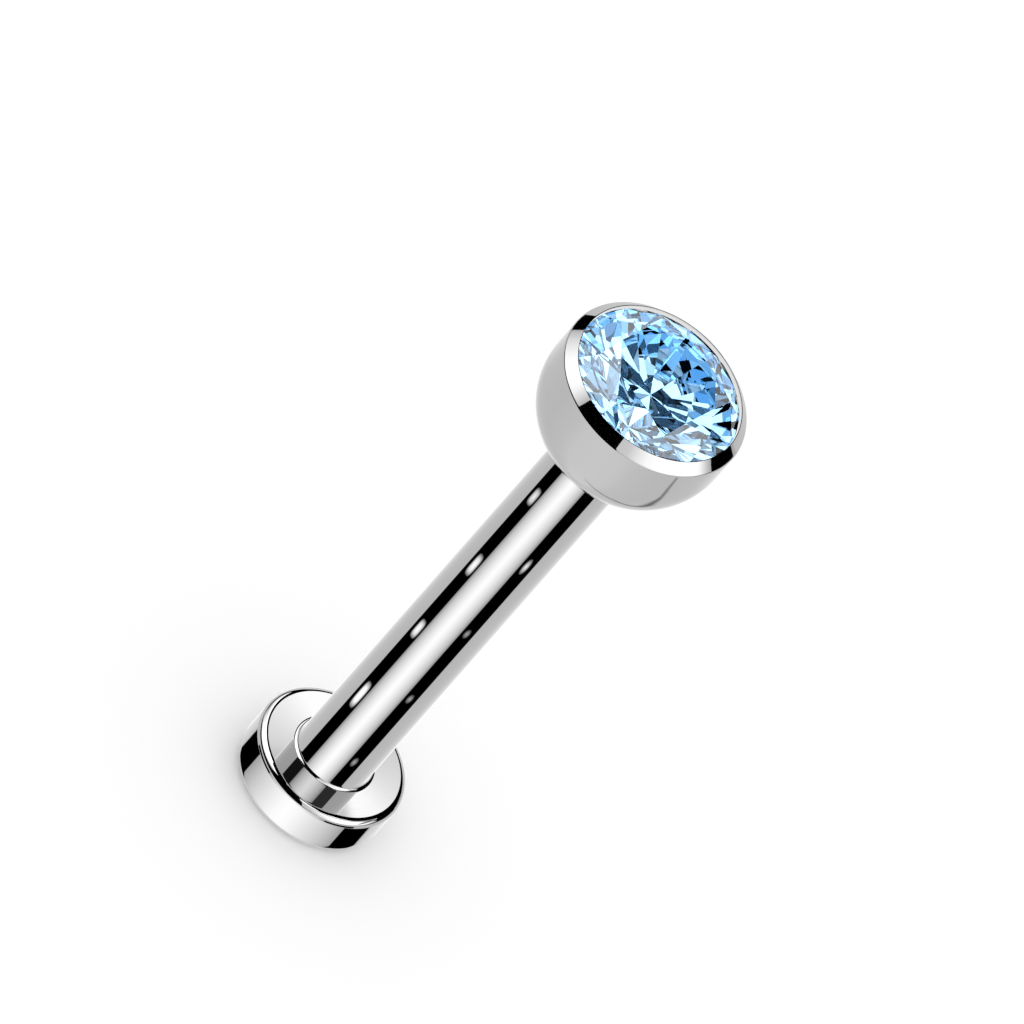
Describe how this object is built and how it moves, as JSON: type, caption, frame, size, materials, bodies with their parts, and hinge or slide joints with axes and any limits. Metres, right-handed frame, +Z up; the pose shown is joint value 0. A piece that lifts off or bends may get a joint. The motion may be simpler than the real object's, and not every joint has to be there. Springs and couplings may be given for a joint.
{
  "type": "labret stud",
  "caption": "Straight body-jewellery stud: a round post on a flat disc back, with a bevelled cup top holding a round brilliant-cut blue stone.",
  "frame": {"origin": "centre of the disc's flat face, which stands on the surface", "axes": "+Z runs up the post towards the stone; +X and +Y are any two directions across it"},
  "size_m": [0.003, 0.003, 0.0109],
  "materials": {
    "post_metal": "mirror-polished titanium, neutral silver grey",
    "cup_metal": "mirror-polished titanium, neutral silver grey",
    "blue_stone": "cut and polished sky-blue cubic zirconia"
  },
  "bodies": {
    "root": {"flat_back_post": "post_metal", "stone_cup": "cup_metal", "stone": "blue_stone"}
  },
  "joints": []
}
